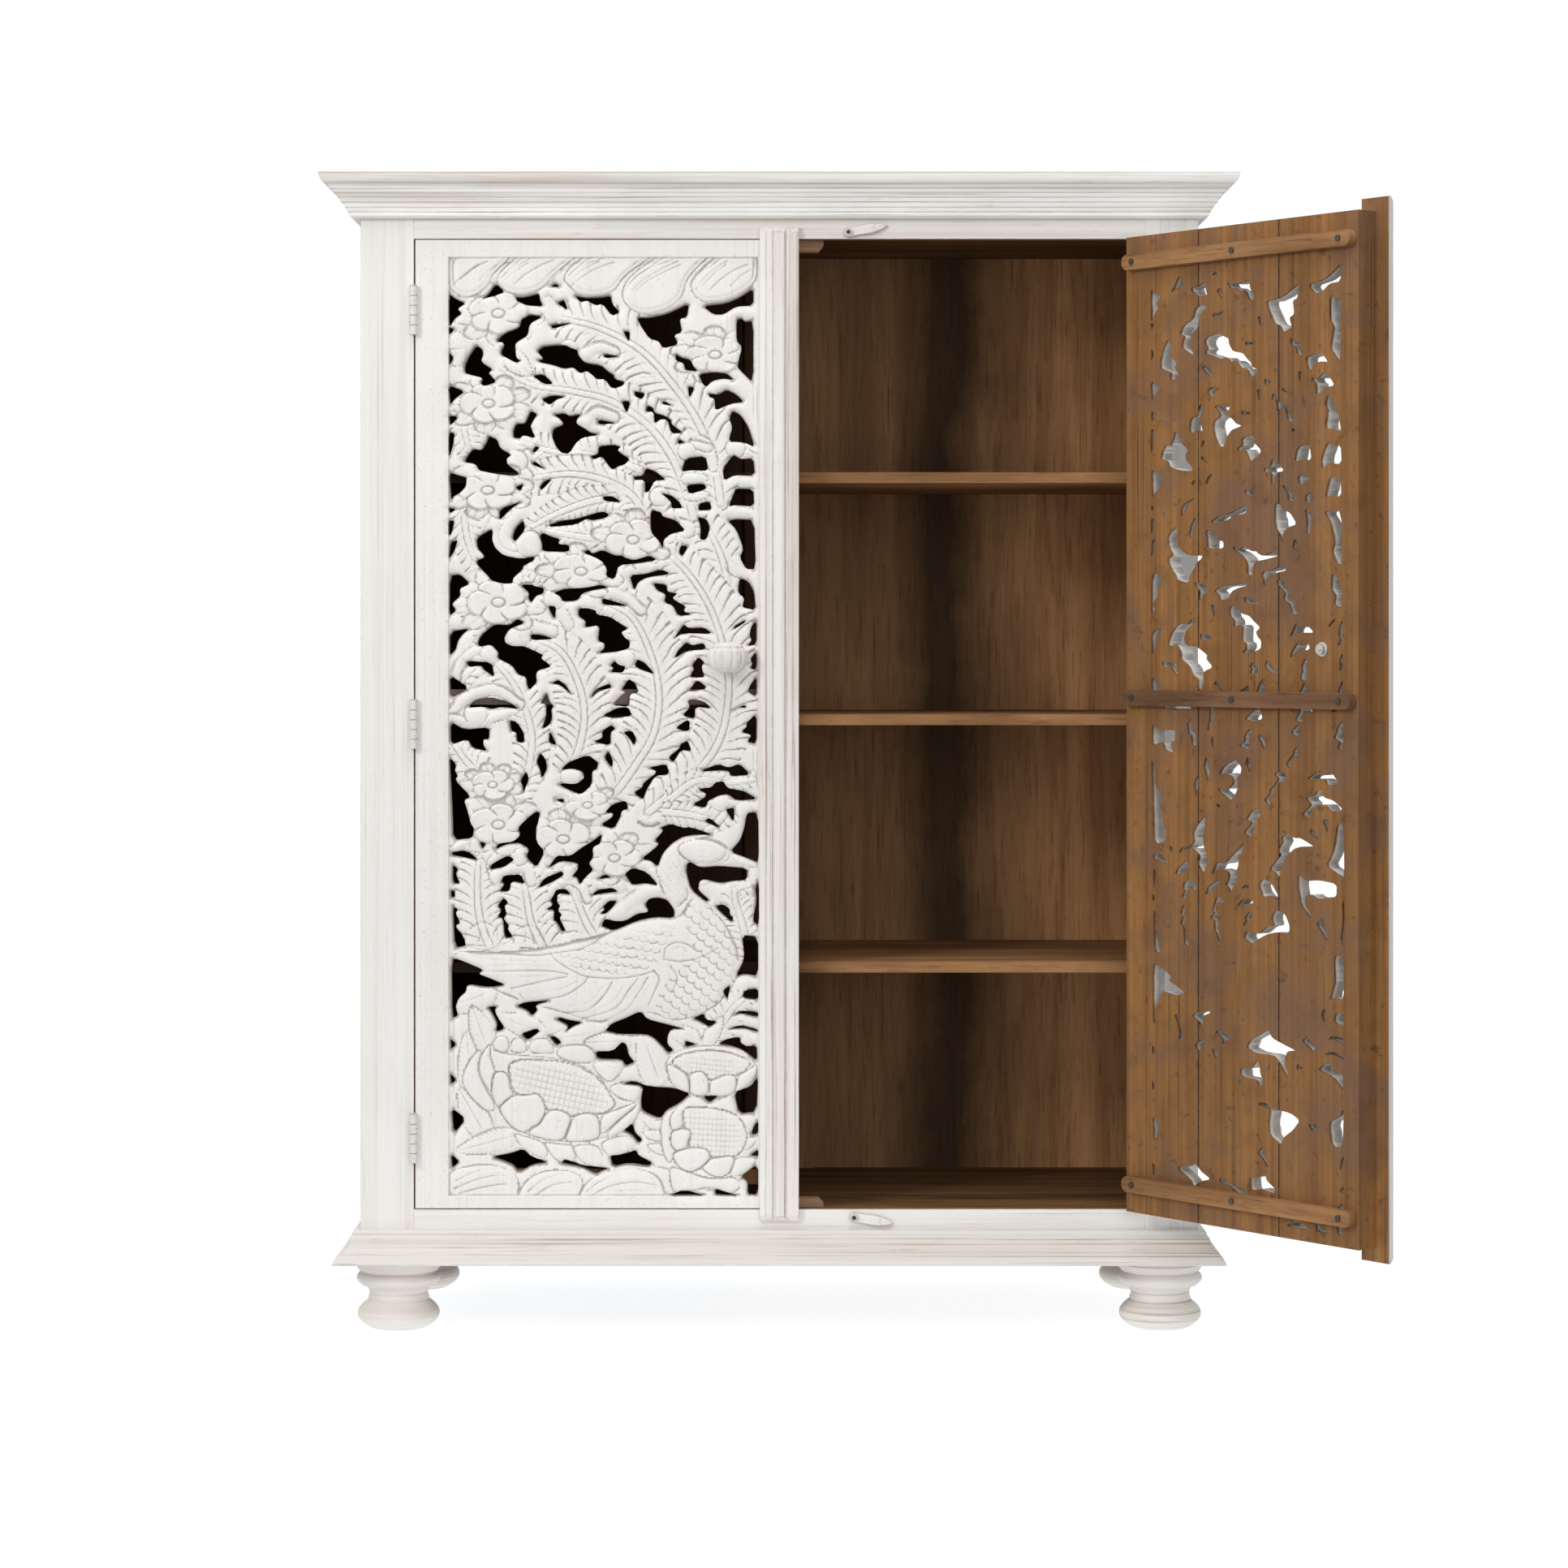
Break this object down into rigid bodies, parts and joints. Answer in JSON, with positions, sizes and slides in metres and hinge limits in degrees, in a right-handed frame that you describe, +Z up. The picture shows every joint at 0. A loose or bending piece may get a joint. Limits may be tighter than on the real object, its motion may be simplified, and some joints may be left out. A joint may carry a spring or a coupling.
{
  "type": "book cabinet",
  "caption": "Freestanding whitewashed wooden book cabinet with two pierced carved doors, shelves, cornice and bun feet.",
  "frame": {"origin": "on the floor under the middle of the carcass, at the floor_rest mount", "axes": "+Z up; the front faces -Y; +X to the right as seen from the front; the left door is closed and the right door stands open at rest"},
  "size_m": [1.3436, 0.8039, 1.511],
  "materials": {
    "whitewash": "matte whitewash over wood",
    "brown_wood": "satin brown stain",
    "raw_wood": "bare",
    "button_wood": "worn whitewash",
    "knob": "worn whitewash",
    "hinge_metal": "aged",
    "steel": "dull"
  },
  "bodies": {
    "carcass": {"side_panel_left": "whitewash", "side_panel_right": "whitewash", "back_panel_left": "brown_wood", "back_panel_right": "brown_wood", "back_muntin": "brown_wood", "top_board": "whitewash", "floor_board": "brown_wood", "ceiling_board": "brown_wood", "foot_front_left": "whitewash", "foot_front_right": "whitewash", "foot_back_left": "whitewash", "foot_back_right": "whitewash", "foot_studs": "steel", "base_board": "brown_wood", "shelf_top": "brown_wood", "shelf_middle": "brown_wood", "shelf_bottom": "brown_wood", "shelf_cleats": "brown_wood", "cornice_front": "whitewash", "cornice_left": "whitewash", "cornice_right": "whitewash", "plinth_front": "whitewash", "plinth_left": "whitewash", "plinth_right": "whitewash", "door_stop_top": "raw_wood", "door_stop_bottom": "raw_wood", "hinge_frame_leaves": "hinge_metal", "hinge_frame_screws": "hinge_metal", "hinge_pins": "hinge_metal", "face_left_stile": "whitewash", "face_right_stile": "whitewash", "face_top_rail": "whitewash", "face_bottom_rail": "whitewash", "turn_button_screws": "steel"},
    "left_door": {"left_hinge_board": "whitewash", "left_middle_board": "whitewash", "left_meeting_board": "whitewash", "left_batten_top": "brown_wood", "left_batten_middle": "brown_wood", "left_batten_bottom": "brown_wood", "left_batten_screws": "steel", "left_meeting_bar": "whitewash", "left_knob": "knob", "left_knob_bolt": "steel", "left_hinge_leaves": "hinge_metal", "left_hinge_screws": "hinge_metal"},
    "right_door": {"right_hinge_board": "whitewash", "right_middle_board": "whitewash", "right_meeting_board": "whitewash", "right_batten_top": "brown_wood", "right_batten_middle": "brown_wood", "right_batten_bottom": "brown_wood", "right_batten_screws": "steel", "right_meeting_bar": "whitewash", "right_knob": "knob", "right_knob_bolt": "steel", "right_hinge_leaves": "hinge_metal", "right_hinge_screws": "hinge_metal"},
    "turn_button_top": {"turn_button_top": "button_wood"},
    "turn_button_bottom": {"turn_button_bottom": "button_wood"}
  },
  "joints": [
    {"name": "left_door_hinge", "type": "hinge", "parent": "carcass", "child": "left_door", "pos_m": [-0.4775, -0.2233, 0.7945], "axis": [0, 0, -1], "range_deg": [0, 165]},
    {"name": "right_door_hinge", "type": "hinge", "parent": "carcass", "child": "right_door", "pos_m": [0.4775, -0.2233, 0.7945], "axis": [0, 0, 1], "range_deg": [-126.9, 38]},
    {"name": "turn_button_top_pivot", "type": "hinge", "parent": "carcass", "child": "turn_button_top", "pos_m": [0.0903, -0.2175, 1.437], "axis": [0, 1, 0], "range_deg": [0, 100]},
    {"name": "turn_button_bottom_pivot", "type": "hinge", "parent": "carcass", "child": "turn_button_bottom", "pos_m": [0.0976, -0.2175, 0.151], "axis": [0, -1, 0], "range_deg": [0, 98.5]}
  ]
}
